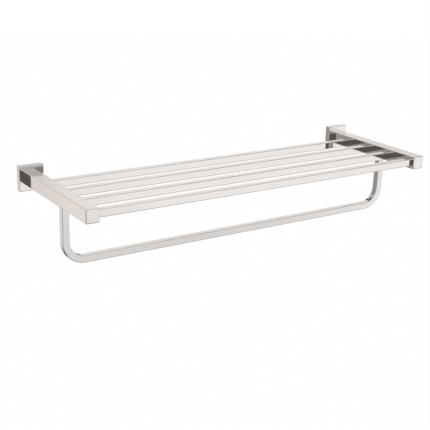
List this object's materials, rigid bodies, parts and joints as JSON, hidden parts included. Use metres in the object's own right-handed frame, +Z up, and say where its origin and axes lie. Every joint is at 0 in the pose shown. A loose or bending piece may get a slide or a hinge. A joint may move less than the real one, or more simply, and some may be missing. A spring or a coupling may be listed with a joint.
{
  "type": "towel rack",
  "caption": "Wall-mounted chrome towel shelf with parallel square bars between square arms on square flanges, and a bent square towel rail hanging below.",
  "frame": {"origin": "centre of the rectangle of wall screw holes, on the wall plane", "axes": "+X along the shelf bars to the right as seen from the room, +Y into the wall, +Z up; the shelf stands out towards -Y"},
  "size_m": [0.618, 0.211, 0.117],
  "materials": {
    "polished_chrome": "polished",
    "fastener_steel": "satin",
    "plate_steel": "satin",
    "plug_brass": "machined"
  },
  "bodies": {
    "root": {"left_wall_plate": "plate_steel", "right_wall_plate": "plate_steel", "left_flange": "polished_chrome", "right_flange": "polished_chrome", "flange_bolts": "fastener_steel", "flange_washers": "fastener_steel", "grub_screws": "fastener_steel", "left_root_plug": "plug_brass", "right_root_plug": "plug_brass", "left_arm": "polished_chrome", "right_arm": "polished_chrome", "left_arm_cap": "polished_chrome", "right_arm_cap": "polished_chrome", "shelf_bar_1": "polished_chrome", "shelf_bar_2": "polished_chrome", "shelf_bar_3": "polished_chrome", "shelf_bar_4": "polished_chrome", "towel_rail": "polished_chrome"}
  },
  "joints": []
}
